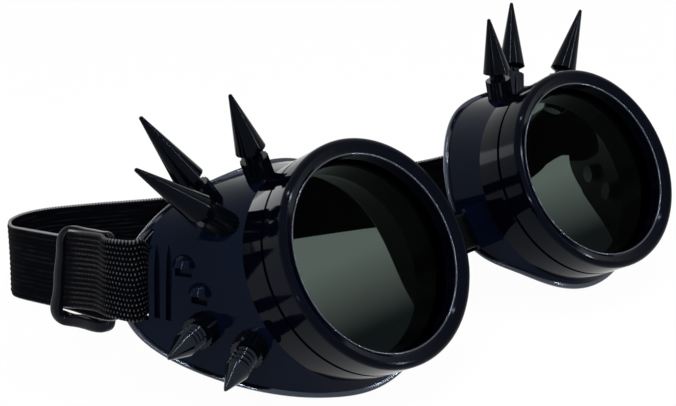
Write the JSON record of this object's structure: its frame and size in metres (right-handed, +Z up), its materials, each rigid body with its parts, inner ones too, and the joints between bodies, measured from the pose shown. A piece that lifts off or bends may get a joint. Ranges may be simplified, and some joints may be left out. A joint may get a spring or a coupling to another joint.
{
  "type": "spiked round-lens goggles",
  "caption": "Round-lens costume goggles: flared black eye cups with screwed rings, tinted lenses, screw-on spikes and studs, a soft nose link and an elastic head strap.",
  "frame": {"origin": "middle of the underside of the whole object as it lies on the table", "axes": "+X to the wearer's left, -Y the way the lenses face, +Z up from the table"},
  "size_m": [0.1876, 0.1374, 0.0754],
  "materials": {
    "cup_plastic": "glossy black with a faint blue cast",
    "ring_plastic": "glossy black",
    "trim_rubber": "satin dark grey",
    "lens_tint": "dark green see-through",
    "gasket_rubber": "matte",
    "spike_metal": "gloss black paint",
    "collar_metal": "gloss black paint, knurled",
    "screw_steel": "dull",
    "bridge_rubber": "satin",
    "strap_elastic": "ribbed woven elastic",
    "slider_plastic": "semi-gloss black"
  },
  "bodies": {
    "left_cup": {"left_eye_cup": "cup_plastic", "left_face_trim": "trim_rubber", "left_upper_spike": "spike_metal", "left_middle_spike": "spike_metal", "left_outer_spike": "spike_metal", "left_rear_stud": "spike_metal", "left_front_stud": "spike_metal", "left_spike_collars": "collar_metal", "left_stud_collars": "collar_metal", "left_spike_screws": "screw_steel", "nose_bridge": "bridge_rubber", "strap": "strap_elastic"},
    "right_cup": {"right_eye_cup": "cup_plastic", "right_face_trim": "trim_rubber", "right_upper_spike": "spike_metal", "right_middle_spike": "spike_metal", "right_outer_spike": "spike_metal", "right_rear_stud": "spike_metal", "right_front_stud": "spike_metal", "right_spike_collars": "collar_metal", "right_stud_collars": "collar_metal", "right_spike_screws": "screw_steel"},
    "left_lens_pack": {"left_lens": "lens_tint", "left_lens_gasket": "gasket_rubber"},
    "right_lens_pack": {"right_lens": "lens_tint", "right_lens_gasket": "gasket_rubber"},
    "left_ring": {"left_lens_ring": "ring_plastic"},
    "right_ring": {"right_lens_ring": "ring_plastic"},
    "slider": {"strap_slider": "slider_plastic"}
  },
  "joints": [
    {"name": "cup_fold", "type": "hinge", "parent": "left_cup", "child": "right_cup", "pos_m": [-0.01037, -0.03546, 0.02271], "axis": [0, 0.5225, 0.8526], "range_deg": [-15, 15], "deforming": ["strap"]},
    {"name": "left_lens_travel", "type": "slide", "parent": "left_cup", "child": "left_lens_pack", "axis": [-0.0436, -0.8518, 0.522], "range_m": [0, 0.006]},
    {"name": "left_ring_screw", "type": "hinge", "parent": "left_lens_pack", "child": "left_ring", "pos_m": [0.04265, -0.05246, 0.03665], "axis": [-0.0436, -0.8518, 0.522], "range_deg": [0, 720]},
    {"name": "right_lens_travel", "type": "slide", "parent": "right_cup", "child": "right_lens_pack", "axis": [0.0436, -0.8518, 0.522], "range_m": [0, 0.006]},
    {"name": "right_ring_screw", "type": "hinge", "parent": "right_lens_pack", "child": "right_ring", "pos_m": [-0.04265, -0.05246, 0.03665], "axis": [0.0436, -0.8518, 0.522], "range_deg": [0, 720]},
    {"name": "slider_travel", "type": "slide", "parent": "right_cup", "child": "slider", "axis": [-0.0844, 0.9852, -0.1495], "range_m": [0, 0.018]}
  ],
  "couplings": [
    {"joint": "left_lens_travel", "follows": "left_ring_screw", "m_per_rad": 0.00047746},
    {"joint": "right_lens_travel", "follows": "right_ring_screw", "m_per_rad": 0.00047746}
  ]
}
